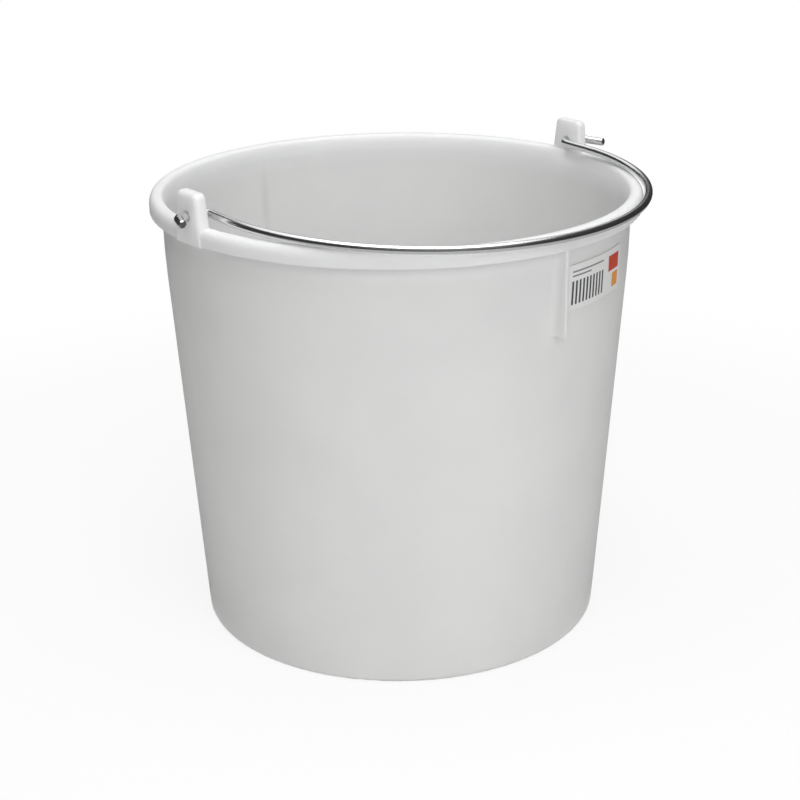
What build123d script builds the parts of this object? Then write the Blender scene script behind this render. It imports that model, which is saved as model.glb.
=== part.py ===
from build123d import *
import os
from math import asin, atan, cos, hypot, radians, sin, sqrt, tan

# A household bucket: one plastic moulding with two ears, a loose wire bail and a paper sticker.
# The origin is the centre of the base on the floor and +Z is up. +X runs along the bail's pivot
# axis, and the bail lies at rest towards -Y. All sizes are in millimetres, angles in degrees.

os.makedirs("parts", exist_ok=True)

# Wall and base
bucket_height = 284.3  # floor to the crest of the rim
base_diameter = 259.4  # outer wall carried down to the floor
wall_thickness = 2.5
collar_drop = 37.3  # crest to where the taper of the wall gives way to the plumb collar under the rim
bend_height = 29.6  # height of the slow bend between the two
base_thickness = 3.0
base_corner = 4.0  # outer corner between wall and base
floor_corner = 6.0  # inner corner between wall and floor
foot_width = 8.0  # flat ring that the bucket stands on
recess_depth = 2.0  # base stands clear of the floor inside the foot ring
recess_slope = 2.0  # width of the slope from the foot ring up to the recess
gate_diameter = 7.0  # mould gate left at the centre of the underside
gate_height = 0.8

# Rim, hollow underneath between the wall and the skirt
lip_diameter = 310.0  # outermost circle of the rim
lip_overhang = 7.9  # skirt's outer face beyond the collar's
lip_depth = 10.8  # crest to the skirt's lower edge
lip_edge = 1.0
skirt_thickness = 2.4
roof_thickness = 4.6  # crest to the roof of the hollow
crest_inset = 4.0  # crest's outer edge inside the outermost circle
crest_width = 4.0  # level top of the rim, before its inner edge is rounded
shoulder_drop = 6.0  # crest to the top of the skirt's upright face
crest_edge = 3.0

# Ears
ear_height = 20.1  # top of the ear above the crest
ear_thickness = 7.4  # at the top
ear_lean = 0.8  # inner face leans outwards from the root up
ear_proud = 0.2  # ear's outer face beyond the skirt
ear_top_width = 20.8
ear_rim_width = 26.0  # at the crest
ear_corner = 3.6
ear_round = 3.0  # edges of the outer face
ear_edge = 1.4  # edges of the inner face
pivot_rise = 5.7  # pivot axis above the crest
hole_edge = 0.5

# Nesting ribs, which stop stacked buckets from jamming
rib_count = 2
rib_turn = 1.0  # ribs off the square to the pivot axis
rib_thickness = 2.6
rib_root = 4.0  # fillet between rib and wall
rib_inset = 0.5  # rib's outer edge inside the skirt's outer face
rib_drop = 63.8  # crest to the lower end
rib_edge = 0.6

# Wire bail
wire_diameter = 5.0
wire_bend = 4.5  # bend radius on the centreline
wire_end = 0.6
arm_length = 20.5  # straight arm before the round of the D
hook_reach_right = 4.5  # hook corner beyond the +X ear's outer face
hook_reach_left = 6.0  # and beyond the -X ear's
hook_turn = 70.0  # bend outside the ear
hook_length_right = 18.0  # hook corner to wire end
hook_length_left = 14.5
hole_play = 0.5  # hole radius over wire radius
side_slip = 1.2  # the loose bail lies this far off the middle, towards +X
arm_gap = 1.9  # top of the +X ear's inner face to the arm beside it
rest_gap = 0.5  # wire to the crest it lies on

# Paper sticker
label_width = 62.0
label_height = 28.0
label_drop = 23.3  # crest to the upper edge
label_gap = 2.0  # bare wall between the sticker and the root of the -Y rib
label_thickness = 0.2
label_glue = 0.2  # adhesive between paper and wall
label_corner = 1.0

# Worked out from the sizes above
base_radius = base_diameter / 2
lip_radius = lip_diameter / 2
crest_radius = lip_radius - crest_inset
crest_corner = crest_radius - crest_width
lip_bottom = bucket_height - lip_depth
skirt_inside = lip_radius - skirt_thickness
roof_height = bucket_height - roof_thickness
collar_bottom = bucket_height - collar_drop
collar_outside = lip_radius - lip_overhang
collar_inside = collar_outside - wall_thickness
floor_height = recess_depth + base_thickness
recess_radius = base_radius - base_corner - foot_width
wall_slope = (collar_outside - base_radius) / collar_bottom
wall_bend = bend_height / 2 / tan(atan(wall_slope) / 2)


def outer_radius(height):
    """Radius of the outer wall, below the collar, at a height above the floor."""
    return base_radius + wall_slope * height


floor_radius = outer_radius(floor_height) - wall_thickness

# Behind the skirt the wall opens out into the crest
flare_slope = (crest_corner - collar_inside) / lip_depth
roof_radius = collar_outside + flare_slope * (roof_height - lip_bottom)

ear_top = bucket_height + ear_height
ear_outer = lip_radius + ear_proud
ear_inner_top = ear_outer - ear_thickness
ear_inner_foot = ear_inner_top - ear_lean
ear_root = collar_outside - wall_thickness / 2
ear_side_slope = (ear_rim_width - ear_top_width) / 2 / ear_height
ear_foot_width = ear_rim_width + 2 * ear_side_slope * lip_depth

pivot_height = bucket_height + pivot_rise
wire_radius = wire_diameter / 2
hole_radius = wire_radius + hole_play

# One ear, on the +X side, with its root in the wall and filling the rim's hollow
with BuildPart() as ear:
    with BuildSketch(Plane.XZ):
        with BuildLine():
            Polyline(
                (ear_inner_foot, lip_bottom),
                (ear_outer, lip_bottom),
                (ear_outer, ear_top),
                (ear_inner_top, ear_top),
                close=True,
            )
        make_face()
    extrude(amount=ear_foot_width / 2, both=True)
    with BuildSketch(Plane.YZ) as ear_face:
        with BuildLine():
            Polyline(
                (-ear_foot_width / 2, lip_bottom),
                (ear_foot_width / 2, lip_bottom),
                (ear_top_width / 2, ear_top),
                (-ear_top_width / 2, ear_top),
                close=True,
            )
        make_face()
        fillet(ear_face.vertices().group_by(Axis.Y)[-1], ear_corner)
    extrude(amount=lip_diameter, mode=Mode.INTERSECT)
    fillet(ear.faces().sort_by(Axis.X)[-1].edges().sort_by(Axis.Z)[1:], ear_round)
    fillet(ear.faces().sort_by(Axis.X)[0].edges().sort_by(Axis.Z)[1:], ear_edge)
    with BuildSketch(Plane.XZ):
        with Locations((ear_root, lip_bottom)):
            Rectangle(skirt_inside - ear_root, roof_height - lip_bottom, align=(Align.MIN, Align.MIN))
    extrude(amount=ear_rim_width / 2, both=True)

# One nesting rib, on the +X side: a thin upright fin that follows the wall, with its outer edge plumb
rib_outer = lip_radius - rib_inset
rib_bottom = bucket_height - rib_drop
rib_top = (lip_bottom + roof_height) / 2
rib_depth = rib_outer - outer_radius(rib_bottom)
rib_embed = wall_thickness / 2
rib_foot_width = rib_thickness + 2 * rib_root + rib_embed
rib_start = rib_bottom - rib_depth
start_radius = outer_radius(rib_start)
rib_plane = Plane((start_radius, 0, rib_start), x_dir=(1, 0, -wall_slope), z_dir=(wall_slope, 0, 1))
with BuildPart() as rib:
    with BuildLine(Plane.XZ):
        Polyline((start_radius, rib_start), (collar_outside, collar_bottom), (collar_outside, roof_height))
    with BuildSketch(rib_plane) as rib_section:
        Rectangle(rib_embed, rib_foot_width, align=(Align.MAX, Align.CENTER))
        Rectangle(rib_depth, rib_thickness, align=(Align.MIN, Align.CENTER))
        fillet(rib_section.vertices().sort_by_distance((0, 0))[:2], rib_root)
    sweep(transition=Transition.RIGHT)
    with BuildSketch(Plane.XZ):
        with Locations((rib_outer, rib_bottom)):
            Rectangle(lip_radius, rib_top - rib_bottom, align=(Align.MAX, Align.MIN))
    extrude(amount=rib_foot_width, both=True, mode=Mode.INTERSECT)
    fillet(rib.faces().sort_by(Axis.X)[-1].edges(), rib_edge)

# Bucket body: wall, base, rim, ears and ribs in one moulding
with BuildPart() as bucket_body:
    with BuildSketch(Plane.XZ) as section:
        with BuildLine():
            Polyline(
                (collar_inside, lip_bottom),
                (collar_inside, collar_bottom),
                (floor_radius, floor_height),
                (0, floor_height),
                (0, recess_depth),
                (recess_radius - recess_slope, recess_depth),
                (recess_radius, 0),
                (base_radius, 0),
                (collar_outside, collar_bottom),
                (collar_outside, lip_bottom),
                (roof_radius, roof_height),
                (skirt_inside, roof_height),
                (skirt_inside, lip_bottom),
                (lip_radius, lip_bottom),
                (lip_radius, bucket_height - shoulder_drop),
            )
            EllipticalCenterArc(
                (crest_radius, bucket_height - shoulder_drop), crest_inset, shoulder_drop, arc_size=90
            )
            Line((crest_radius, bucket_height), (crest_corner, bucket_height))
            TangentArc((collar_inside, lip_bottom), (crest_corner, bucket_height), tangent=(0, 1))
        make_face()
        fillet(section.vertices().sort_by_distance((crest_corner, bucket_height))[0], crest_edge)
        fillet(section.vertices().sort_by_distance((collar_inside, collar_bottom))[0], wall_bend)
        fillet(section.vertices().sort_by_distance((collar_outside, collar_bottom))[0], wall_bend)
        fillet(section.vertices().sort_by_distance((floor_radius, floor_height))[0], floor_corner)
        fillet(section.vertices().sort_by_distance((base_radius, 0))[0], base_corner)
        fillet(section.vertices().sort_by_distance((lip_radius, lip_bottom))[0], lip_edge)
        fillet(section.vertices().sort_by_distance((skirt_inside, lip_bottom))[0], lip_edge)
    revolve(axis=Axis.Z)
    with PolarLocations(0, rib_count, start_angle=90 + rib_turn):
        add(rib.part)
    add(ear.part)
    add(ear.part.mirror(Plane.YZ))
    with Locations((0, 0, pivot_height)):
        Cylinder(hole_radius, 2 * lip_diameter, rotation=(0, 90, 0), mode=Mode.SUBTRACT)
    hole_faces = bucket_body.faces(Select.LAST).filter_by(GeomType.CYLINDER)
    chamfer(hole_faces.edges().filter_by(GeomType.LINE, reverse=True), hole_edge)
    with Locations((0, 0, recess_depth)):
        Cylinder(gate_diameter / 2, gate_height, align=(Align.CENTER, Align.CENTER, Align.MAX))

bucket_body.part.label = "bucket_body"
export_step(bucket_body.part, "parts/bucket_body.step")

# Wire bail: straight arms, a half circle, and ends hooked back outside the ears.
# It lies slid over towards the +X ear, with the wire resting on the crest of the rim.
arm_x = ear_inner_top - arm_gap - wire_radius - side_slip
right_x = ear_outer + hook_reach_right - side_slip
left_x = ear_outer + hook_reach_left + side_slip
turn = radians(hook_turn)
right_end = (right_x + hook_length_right * cos(turn), hook_length_right * sin(turn))
left_end = (-left_x - hook_length_left * cos(turn), hook_length_left * sin(turn))

# Where the round of the D crosses the crest, furthest from the pivot axis
centre_offset = hypot(side_slip, arm_length)
chord_offset = (crest_radius**2 - arm_x**2 + centre_offset**2) / (2 * centre_offset)
half_chord = sqrt(crest_radius**2 - chord_offset**2)
crossing = (chord_offset * arm_length + half_chord * side_slip) / centre_offset
rest_tilt = asin((pivot_rise - wire_radius - rest_gap) / crossing)

bail_normal = (0, sin(rest_tilt), -cos(rest_tilt))
bail_plane = Plane((side_slip, 0, pivot_height), x_dir=(1, 0, 0), z_dir=bail_normal)
with BuildPart() as wire_bail:
    with BuildLine(bail_plane) as bail_line:
        FilletPolyline(right_end, (right_x, 0), (arm_x, 0), (arm_x, arm_length), radius=wire_bend)
        ThreePointArc((arm_x, arm_length), (0, arm_length + arm_x), (-arm_x, arm_length))
        FilletPolyline((-arm_x, arm_length), (-arm_x, 0), (-left_x, 0), left_end, radius=wire_bend)
    with BuildSketch(Plane(bail_line.line @ 0, z_dir=bail_line.line % 0)):
        Circle(wire_radius)
    sweep()
    chamfer(wire_bail.faces().filter_by(GeomType.PLANE).edges(), wire_end)

wire_bail.part.label = "wire_bail"
export_step(wire_bail.part, "parts/wire_bail.step")

# Paper sticker, bent round the outer wall, where the taper turns into the collar
label_middle = bucket_height - label_drop - label_height / 2
label_outside = label_glue + label_thickness
label_radius = outer_radius(label_middle)
label_spread = asin(label_width / 2 / label_radius)
rib_spread = asin((rib_thickness / 2 + rib_root + label_gap) / label_radius)
label_facing = radians(rib_turn - 90) + rib_spread + label_spread
label_plane = Plane(
    (0, 0, label_middle),
    x_dir=(-sin(label_facing), cos(label_facing), 0),
    z_dir=(cos(label_facing), sin(label_facing), 0),
)
with BuildPart() as label:
    with BuildSketch(Plane.XZ) as label_section:
        with BuildLine():
            Polyline(
                (base_radius + label_glue, 0),
                (collar_outside + label_glue, collar_bottom),
                (collar_outside + label_glue, lip_bottom),
                (collar_outside + label_outside, lip_bottom),
                (collar_outside + label_outside, collar_bottom),
                (base_radius + label_outside, 0),
                close=True,
            )
        make_face()
        fillet(label_section.vertices().sort_by_distance((collar_outside, collar_bottom))[:2], wall_bend)
    revolve(axis=Axis.Z)
    with BuildSketch(label_plane):
        RectangleRounded(label_width, label_height, label_corner)
    extrude(amount=lip_radius, mode=Mode.INTERSECT)

label.part.label = "label"
export_step(label.part, "parts/label.step")
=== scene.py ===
from math import cos, radians, sin

import bpy
from mathutils import Matrix, Vector


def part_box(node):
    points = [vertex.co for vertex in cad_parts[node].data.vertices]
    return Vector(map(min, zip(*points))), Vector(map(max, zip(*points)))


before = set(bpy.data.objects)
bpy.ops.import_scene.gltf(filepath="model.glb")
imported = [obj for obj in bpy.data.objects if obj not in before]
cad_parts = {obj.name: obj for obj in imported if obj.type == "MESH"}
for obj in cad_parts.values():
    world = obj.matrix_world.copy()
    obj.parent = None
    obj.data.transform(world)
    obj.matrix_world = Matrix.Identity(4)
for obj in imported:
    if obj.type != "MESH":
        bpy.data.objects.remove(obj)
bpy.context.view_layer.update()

# Bucket body
# The real piece is one injection moulding in natural polyethylene, with no pigment. It comes out of
# the mould with a satin skin, and its 2.5 mm wall lets some light through, like milk glass.

MM = 0.001


def linear(code):
    """An sRGB hex colour as the linear RGBA that shaders take."""
    parts = [int(code[i:i + 2], 16) / 255 for i in (1, 3, 5)]
    return tuple(p / 12.92 if p <= 0.04045 else ((p + 0.055) / 1.055) ** 2.4 for p in parts) + (1.0,)


def add(tree, kind, settings=(), links=()):
    """Adds a node: settings go to its sockets or properties, and links join outputs to its sockets."""
    made = tree.nodes.new("ShaderNode" + kind)
    for name, value in dict(settings).items():
        if isinstance(name, int) or name in made.inputs:
            made.inputs[name].default_value = value
        else:
            setattr(made, name, value)
    for name, output in dict(links).items():
        tree.links.new(output, made.inputs[name])
    return made


def new_material(name):
    """An empty node material, with its tree and its output node."""
    made = bpy.data.materials.new(name)
    made.use_nodes = True
    made.node_tree.nodes.clear()
    return made, made.node_tree, made.node_tree.nodes.new("ShaderNodeOutputMaterial")


# Natural polyethylene, moulded: milky white, with a soft satin gloss and light spreading a few
# millimetres under the skin. The wall lets part of the light through, so it looks greyer than the
# thick rim and ears, where light also runs further and softens the edges. Their paler colour is partly
# that thicker plastic and partly painted light, for the bright glow that light from above and behind
# gives the rim. The mould's grain and a little uneven cooling show in the gloss.
polyethylene_wall = linear("#E8E8E7")
polyethylene_cloud = linear("#E4E4E4")
rim_paler_with_painted_glow = linear("#F9F9FB")
polyethylene_scuff = linear("#C4C3C0")
cloud_size = 60 * MM
# Between these heights the colour also turns to the rim's paler one, which is partly painted light
flare_low, flare_high = 262 * MM, 280 * MM  # the wall thickens into the rim between these heights
wall_spread, rim_spread = 5 * MM, 11 * MM  # how far light runs under the skin
wall_roughness_low, wall_roughness_high = 0.36, 0.44
rim_roughness = 0.6  # duller than the wall, from stacking
scuff_roughness = 0.65
flow_size = 9 * MM
flow_squash = 0.06  # draws the flow marks out to many times their width
scratch_size = 5 * MM
foot_scuff_height = 3 * MM
grain_size = 1.1 * MM  # real grain is some 0.1 mm; drawn coarser, so that it shows
grain_depth = 0.012 * MM

moulded_polyethylene, tree, output = new_material("natural_polyethylene_moulded")
place = add(tree, "TexCoord").outputs["Object"]
cloud = add(
    tree, "TexNoise", {"Scale": 1 / cloud_size, "Detail": 3.0, "Roughness": 0.5}, {"Vector": place}
)
clouded = add(tree, "MapRange", {"From Min": 0.35, "From Max": 0.65}, {"Value": cloud.outputs["Fac"]})
skin_colour = add(
    tree,
    "Mix",
    {"data_type": "RGBA", 6: polyethylene_wall, 7: polyethylene_cloud},
    {"Factor": clouded.outputs["Result"]},
)
up_wall = add(tree, "SeparateXYZ", {}, {"Vector": place}).outputs["Z"]
thick_and_painted_glow = add(
    tree,
    "MapRange",
    {"From Min": flare_low, "From Max": flare_high, "interpolation_type": "SMOOTHSTEP"},
    {"Value": up_wall},
)
# The rim and ears are painted paler than the wall: partly their thicker plastic, partly painted light for
# their glow
skin_colour = add(
    tree,
    "Mix",
    {"data_type": "RGBA", 7: rim_paler_with_painted_glow},
    {"Factor": thick_and_painted_glow.outputs["Result"], 6: skin_colour.outputs[2]},
)
spread = add(
    tree, "MapRange", {"To Min": wall_spread, "To Max": rim_spread}, {"Value": thick_and_painted_glow.outputs["Result"]}
)

# Painted shade: behind each rib the wall lets less light through, so on the inside the rib's shadow
# through the wall is painted into the colour as a faint grey line
rib_painted_shade = linear("#DFDFDE")
rib_turn, rib_middle = radians(1.0), 245 * MM
across_rib, along_rib = 5 * MM, 34 * MM
through_bucket = 10.0  # so long that the line lies behind both ribs
rib_place = add(
    tree,
    "Mapping",
    {
        "vector_type": "TEXTURE",
        "Location": (0.0, 0.0, rib_middle),
        "Rotation": (0.0, 0.0, rib_turn),
        "Scale": (across_rib, through_bucket, along_rib),
    },
    {"Vector": place},
)
off_rib = add(tree, "VectorMath", {"operation": "LENGTH"}, {0: rib_place.outputs["Vector"]})
behind_rib = add(
    tree,
    "MapRange",
    {"To Min": 1.0, "To Max": 0.0, "interpolation_type": "SMOOTHSTEP"},
    {"Value": off_rib.outputs["Value"]},
)
outward = add(
    tree,
    "VectorMath",
    {"operation": "DOT_PRODUCT"},
    {0: add(tree, "NewGeometry").outputs["Normal"], 1: place},
)
inside = add(tree, "Math", {"operation": "LESS_THAN", 1: 0.0}, {0: outward.outputs["Value"]})
shaded = add(
    tree, "Math", {"operation": "MULTIPLY"}, {0: behind_rib.outputs["Result"], 1: inside.outputs["Value"]}
)
# Paints the rib's shadow through the wall into the inside colour
skin_colour = add(
    tree,
    "Mix",
    {"data_type": "RGBA", 7: rib_painted_shade},
    {"Factor": shaded.outputs["Value"], 6: skin_colour.outputs[2]},
)

# Flow marks run up the wall, the way the melt filled the mould
flow_place = add(tree, "Mapping", {"Scale": (1.0, 1.0, flow_squash)}, {"Vector": place})
flow = add(
    tree, "TexNoise", {"Scale": 1 / flow_size, "Detail": 2.0}, {"Vector": flow_place.outputs["Vector"]}
)
wall_gloss = add(
    tree,
    "MapRange",
    {"From Min": 0.3, "From Max": 0.7, "To Min": wall_roughness_low, "To Max": wall_roughness_high},
    {"Value": flow.outputs["Fac"]},
)
rim_gloss = add(
    tree,
    "MapRange",
    {"To Max": rim_roughness},
    {"Value": thick_and_painted_glow.outputs["Result"], "To Min": wall_gloss.outputs["Result"]},
)

# The foot ring is scuffed where the bucket has been set down
low = add(tree, "MapRange", {"From Min": foot_scuff_height, "From Max": 0.0}, {"Value": up_wall})
scratch = add(
    tree, "TexNoise", {"Scale": 1 / scratch_size, "Detail": 6.0, "Roughness": 0.7}, {"Vector": place}
)
scratched = add(tree, "MapRange", {"From Min": 0.45, "From Max": 0.6}, {"Value": scratch.outputs["Fac"]})
scuff = add(
    tree, "Math", {"operation": "MULTIPLY"}, {0: low.outputs["Result"], 1: scratched.outputs["Result"]}
)
body_colour = add(
    tree,
    "Mix",
    {"data_type": "RGBA", 7: polyethylene_scuff},
    {"Factor": scuff.outputs["Value"], 6: skin_colour.outputs[2]},
)
body_gloss = add(
    tree,
    "MapRange",
    {"To Max": scuff_roughness},
    {"Value": scuff.outputs["Value"], "To Min": rim_gloss.outputs["Result"]},
)
grain = add(tree, "TexNoise", {"Scale": 1 / grain_size, "Detail": 2.0}, {"Vector": place})
grain_bump = add(
    tree, "Bump", {"Strength": 0.6, "Distance": grain_depth}, {"Height": grain.outputs["Fac"]}
)
skin = add(
    tree,
    "BsdfPrincipled",
    {
        "IOR": 1.53,
        "Subsurface Weight": 0.85,
        "Subsurface Radius": (1.0, 0.98, 0.96),
    },
    {
        "Base Color": body_colour.outputs[2],
        "Subsurface Scale": spread.outputs["Result"],
        "Roughness": body_gloss.outputs["Result"],
        "Normal": grain_bump.outputs["Normal"],
    },
)
tree.links.new(skin.outputs["BSDF"], output.inputs["Surface"])

bucket_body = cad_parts["bucket_body"]
bucket_body.data.materials[0] = moulded_polyethylene

# Wire bail
# The real piece is 5 mm steel wire, drawn, cut, bent cold into a D and plated bright. Its hooked
# ends turn in the ears, and the shears left the two end faces dull.

# Bright plated steel: a mirror, slightly clouded and uneven, as drawing and plating leave it.
plating = linear("#F0F0F0")
plating_tint = linear("#E4E5E6")
tint_size = 6 * MM
draw_mark = 0.7 * MM
draw_depth = 0.004 * MM
plate_roughness_low, plate_roughness_high = 0.16, 0.26

plated_steel, tree, output = new_material("steel_wire_drawn_bright_plated")
place = add(tree, "TexCoord").outputs["Object"]
tint = add(tree, "TexNoise", {"Scale": 1 / tint_size, "Detail": 2.0}, {"Vector": place})
plate_colour = add(
    tree,
    "Mix",
    {"data_type": "RGBA", 6: plating, 7: plating_tint},
    {"Factor": tint.outputs["Fac"]},
)
marks = add(tree, "TexNoise", {"Scale": 1 / draw_mark, "Detail": 2.0}, {"Vector": place})
plate_gloss = add(
    tree,
    "MapRange",
    {"To Min": plate_roughness_low, "To Max": plate_roughness_high},
    {"Value": marks.outputs["Fac"]},
)
plate_bump = add(
    tree, "Bump", {"Strength": 0.25, "Distance": draw_depth}, {"Height": marks.outputs["Fac"]}
)
plate = add(
    tree,
    "BsdfPrincipled",
    {"Metallic": 1.0},
    {
        "Base Color": plate_colour.outputs[2],
        "Roughness": plate_gloss.outputs["Result"],
        "Normal": plate_bump.outputs["Normal"],
    },
)
tree.links.new(plate.outputs["BSDF"], output.inputs["Surface"])

wire_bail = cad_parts["wire_bail"]
wire_bail.data.materials[0] = plated_steel

# Steel as the shears left it: bare, grey and torn across, without the mirror of the plating.
shear_dark = linear("#5E5E60")
shear_light = linear("#8A8A8C")
shear_mark = 0.5 * MM
shear_depth = 0.05 * MM

sheared_steel, tree, output = new_material("steel_wire_sheared_end")
place = add(tree, "TexCoord").outputs["Object"]
tear = add(tree, "TexNoise", {"Scale": 1 / shear_mark, "Detail": 3.0}, {"Vector": place})
tear_colour = add(
    tree,
    "Mix",
    {"data_type": "RGBA", 6: shear_dark, 7: shear_light},
    {"Factor": tear.outputs["Fac"]},
)
tear_bump = add(
    tree, "Bump", {"Strength": 0.5, "Distance": shear_depth}, {"Height": tear.outputs["Fac"]}
)
torn = add(
    tree,
    "BsdfPrincipled",
    {"Metallic": 1.0, "Roughness": 0.55},
    {"Base Color": tear_colour.outputs[2], "Normal": tear_bump.outputs["Normal"]},
)
tree.links.new(torn.outputs["BSDF"], output.inputs["Surface"])

# The two end faces look along the hooks, which turn 70 degrees from the pivot axis outside the ears
wire_bail.data.materials.append(sheared_steel)
hook_turn = radians(70)
outside_ears = 158 * MM
end_facing = 0.985  # cosine of the widest angle between an end face's normal and its hook
for face in wire_bail.data.polygons:
    along_hook = abs(face.normal.x) * cos(hook_turn) - face.normal.y * sin(hook_turn)
    if abs(face.center.x) > outside_ears and along_hook > end_facing:
        face.material_index = 1

# Label
# The real piece is a small price sticker of coated white paper, printed and pressed onto the wall
# under the rim, beside a nesting rib. Its print is plain rules, stripes and blocks of colour.

label_facing = radians(-74.0)  # the way the sticker faces, from +X round towards +Y
label_low, label_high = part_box("label")
label_middle = (label_low.z + label_high.z) / 2

# Coated label paper, offset printed: smooth, soft gloss, ink lying flat on the sheet.
paper_white = linear("#F4F4F3")
paper_fibre = linear("#EDEDEC")
fibre_size = 0.8 * MM
fibre_depth = 0.01 * MM
ink_grey = linear("#46464A")
ink_rule = linear("#8B8C90")
ink_red = linear("#D4421F")
ink_amber = linear("#F0A03C")

label_paper, tree, output = new_material("label_paper_coated_printed")
place = add(tree, "TexCoord").outputs["Object"]
across = add(
    tree,
    "VectorMath",
    {"operation": "DOT_PRODUCT", 1: (-sin(label_facing), cos(label_facing), 0.0)},
    {0: place},
).outputs["Value"]
up_wall = add(tree, "SeparateXYZ", {}, {"Vector": place}).outputs["Z"]


def printed(base, ink, left, right, bottom, top, pitch=None):
    """Prints a block of ink over base, with its edges in millimetres from the sticker's middle.

    Where a pitch is given, the block is upright stripes, that many millimetres from one to the next.
    """
    masks = []
    for axis, low_edge, high_edge in (
        (across, left * MM, right * MM),
        (up_wall, label_middle + bottom * MM, label_middle + top * MM),
    ):
        half = (high_edge - low_edge) / 2
        settings = {"operation": "COMPARE", 1: low_edge + half, 2: half}
        masks.append(add(tree, "Math", settings, {0: axis}).outputs["Value"])
    if pitch:
        wave = add(tree, "Math", {"operation": "WRAP", 1: pitch * MM, 2: 0.0}, {0: across})
        bars = {"operation": "LESS_THAN", 1: pitch * MM / 2}
        masks.append(add(tree, "Math", bars, {0: wave.outputs["Value"]}).outputs["Value"])
    mask = masks[0]
    for other in masks[1:]:
        mask = add(tree, "Math", {"operation": "MULTIPLY"}, {0: mask, 1: other}).outputs["Value"]
    return add(tree, "Mix", {"data_type": "RGBA", 7: ink}, {"Factor": mask, 6: base}).outputs[2]


fibre = add(tree, "TexNoise", {"Scale": 1 / fibre_size, "Detail": 3.0}, {"Vector": place})
sheet_colour = add(
    tree,
    "Mix",
    {"data_type": "RGBA", 6: paper_white, 7: paper_fibre},
    {"Factor": fibre.outputs["Fac"]},
).outputs[2]
sheet_colour = printed(sheet_colour, ink_rule, left=-27, right=5, bottom=9.2, top=10.2)
sheet_colour = printed(sheet_colour, ink_rule, left=-27, right=-9, bottom=6.6, top=7.6)
sheet_colour = printed(sheet_colour, ink_grey, left=-27.2, right=6.7, bottom=-10.5, top=4, pitch=3.4)
sheet_colour = printed(sheet_colour, ink_red, left=12, right=27, bottom=0.5, top=10.2)
sheet_colour = printed(sheet_colour, ink_amber, left=18, right=27, bottom=-10.5, top=-1.5)
paper_bump = add(
    tree, "Bump", {"Strength": 0.3, "Distance": fibre_depth}, {"Height": fibre.outputs["Fac"]}
)
paper = add(
    tree,
    "BsdfPrincipled",
    {"IOR": 1.5, "Roughness": 0.42},
    {"Base Color": sheet_colour, "Normal": paper_bump.outputs["Normal"]},
)
tree.links.new(paper.outputs["BSDF"], output.inputs["Surface"])

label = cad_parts["label"]
label.data.materials[0] = label_paper

# Studio floor
# A pale sheet under the bucket. Near the bucket it takes light and shadow, and further out it fades
# into the white background.

floor_radius = 3.0
floor_bounce = linear("#EBEBEA")
floor_lit = 0.15  # share of the floor's white that comes from the lamps, and that shadow can take
floor_near, floor_far = 0.3, 0.75


def background_rays(tree):
    """Gives 1 on rays that show the background, straight, mirrored or through glass, and 0 on others."""
    rays = add(tree, "LightPath").outputs
    seen = rays["Is Camera Ray"]
    for kind in ("Is Glossy Ray", "Is Transmission Ray"):
        seen = add(tree, "Math", {"operation": "MAXIMUM"}, {0: seen, 1: rays[kind]}).outputs["Value"]
    return seen


bpy.ops.mesh.primitive_circle_add(vertices=96, radius=floor_radius, fill_type="NGON")
studio_floor = bpy.context.object
studio_floor.name = "studio_floor"
pale_floor, tree, output = new_material("pale_studio_floor")
place = add(tree, "TexCoord").outputs["Object"]
from_middle = add(tree, "VectorMath", {"operation": "LENGTH"}, {0: place})
fade = add(
    tree,
    "MapRange",
    {"From Min": floor_near, "From Max": floor_far, "interpolation_type": "SMOOTHSTEP"},
    {"Value": from_middle.outputs["Value"]},
)
lit = add(tree, "BsdfDiffuse", {"Color": (floor_lit, floor_lit, floor_lit, 1.0)})
seen = background_rays(tree)
near_glow = add(tree, "Math", {"operation": "MULTIPLY", 1: 1 - floor_lit}, {0: seen})
near_white = add(tree, "Emission", {}, {"Strength": near_glow.outputs["Value"]})
near = add(tree, "AddShader", {}, {0: lit.outputs["BSDF"], 1: near_white.outputs["Emission"]})
far = add(tree, "Emission", {}, {"Strength": seen})
shown = add(
    tree,
    "MixShader",
    {},
    {0: fade.outputs["Result"], 1: near.outputs["Shader"], 2: far.outputs["Emission"]},
)
bounce = add(tree, "BsdfDiffuse", {"Color": floor_bounce})
mixed = add(tree, "MixShader", {}, {0: seen, 1: bounce.outputs["BSDF"], 2: shown.outputs["Shader"]})
tree.links.new(mixed.outputs["Shader"], output.inputs["Surface"])
studio_floor.data.materials.append(pale_floor)

# Flags
# Dark cloths that stand round the bucket, as a photographer sets them to draw dark lines along bright
# wire, and a grey one that lies round its foot and darkens the sides of the wall. Only reflections
# see them.

flag_radius = 1.0
flag_foot = 2 * MM
cloth_hole = 0.135  # the lying cloth goes round the bucket's foot
panel_turn = 5  # degrees
flag_cloths = {}
for name, shade in (("black_flag_cloth", linear("#3A3A3B")), ("grey_flag_cloth", linear("#C2C2C2"))):
    flag_cloths[name], tree, output = new_material(name)
    cloth = add(tree, "BsdfDiffuse", {"Color": shade})
    tree.links.new(cloth.outputs["BSDF"], output.inputs["Surface"])

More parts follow.
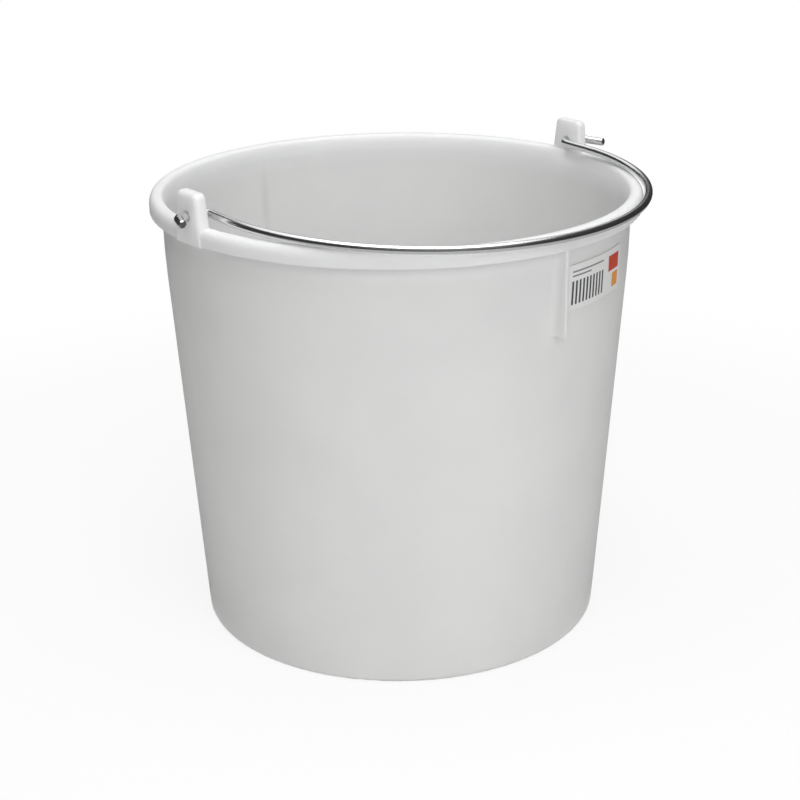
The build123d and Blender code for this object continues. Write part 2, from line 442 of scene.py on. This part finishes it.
# Each flag runs between two bearings in degrees, from +X round towards +Y
for name, cloth, first, last, near_radius, flag_top in (
    ("back_flag", "black_flag_cloth", 25, 80, flag_radius, 0.7),
    ("front_flag", "black_flag_cloth", 80, 295, flag_radius, 1.25),
    ("right_flag", "black_flag_cloth", 295, 385, flag_radius, 1.7),
    ("floor_flag", "grey_flag_cloth", 0, 360, cloth_hole, flag_foot),
):
    corners = []
    for turn in range(first, last + 1, panel_turn):
        east, north = cos(radians(turn)), sin(radians(turn))
        corners.append((near_radius * east, near_radius * north, flag_foot))
        corners.append((flag_radius * east, flag_radius * north, flag_top))
    panels = [(k, k + 2, k + 3, k + 1) for k in range(0, len(corners) - 2, 2)]
    flag_mesh = bpy.data.meshes.new(name)
    flag_mesh.from_pydata(corners, [], panels)
    flag_mesh.materials.append(flag_cloths[cloth])
    flag = bpy.data.objects.new(name, flag_mesh)
    bpy.context.scene.collection.objects.link(flag)
    flag.visible_camera = False
    flag.visible_diffuse = False
    flag.visible_transmission = False
    flag.visible_volume_scatter = False
    flag.visible_shadow = False

# White background
# The world is plain white where it is seen or mirrored, and a low even fill for the rest.

fill_strength, white_strength = 0.18, 1.0
world = bpy.data.worlds.new("studio_white")
bpy.context.scene.world = world
world.use_nodes = True
tree = world.node_tree
tree.nodes.clear()
output = tree.nodes.new("ShaderNodeOutputWorld")
sky_strength = add(
    tree, "MapRange", {"To Min": fill_strength, "To Max": white_strength}, {"Value": background_rays(tree)}
)
sky = add(
    tree, "Background", {"Color": linear("#FFFFFF")}, {"Strength": sky_strength.outputs["Result"]}
)
tree.links.new(sky.outputs["Background"], output.inputs["Surface"])

# Lamps
# A large soft box above the camera, a little to its right, and another straight overhead. Both face
# the middle of the bucket.

camera_turn = -38.3  # the camera's bearing in degrees, from -Y towards +X
lamp_aim = Vector((0, 0, 0.15))


def from_camera(azimuth, elevation, distance):
    """A place round the bucket, by its degrees to the right of the camera and above the floor."""
    angle = radians(camera_turn - 90 + azimuth)
    flat = distance * cos(radians(elevation))
    return Vector((flat * cos(angle), flat * sin(angle), distance * sin(radians(elevation))))


for name, azimuth, elevation, distance, width, depth, power in (
    ("key_soft_box", 13, 32, 1.9, 1.5, 1.2, 14.7),
    ("top_soft_box", 0, 85, 1.6, 1.2, 1.2, 14.6),
):
    lamp = bpy.data.lights.new(name, "AREA")
    lamp.shape = "RECTANGLE"
    lamp.size = width
    lamp.size_y = depth
    lamp.energy = power
    holder = bpy.data.objects.new(name, lamp)
    bpy.context.scene.collection.objects.link(holder)
    holder.location = from_camera(azimuth, elevation, distance)
    aim = lamp_aim - holder.location
    holder.rotation_euler = aim.to_track_quat("-Z", "Y").to_euler()

# Camera
# A long lens a little over a metre away, looking down into the bucket. Its three small turns are in
# radians.

camera_distance, camera_height = 1.09426, 0.55364
look_aside, look_down, camera_roll = -0.0008, 0.3627, -0.0111

camera_data = bpy.data.cameras.new("camera")
camera_data.lens = 79.83
camera_data.sensor_width = 36.0
camera = bpy.data.objects.new("camera", camera_data)
bpy.context.scene.collection.objects.link(camera)
camera.matrix_world = (
    Matrix.Rotation(radians(camera_turn), 4, "Z")
    @ Matrix.Translation((0.0, -camera_distance, camera_height))
    @ Matrix.Rotation(look_aside, 4, "Z")
    @ Matrix.Rotation(radians(90) - look_down, 4, "X")
    @ Matrix.Rotation(camera_roll, 4, "Z")
)
bpy.context.scene.camera = camera

bpy.context.scene.view_settings.view_transform = "Standard"
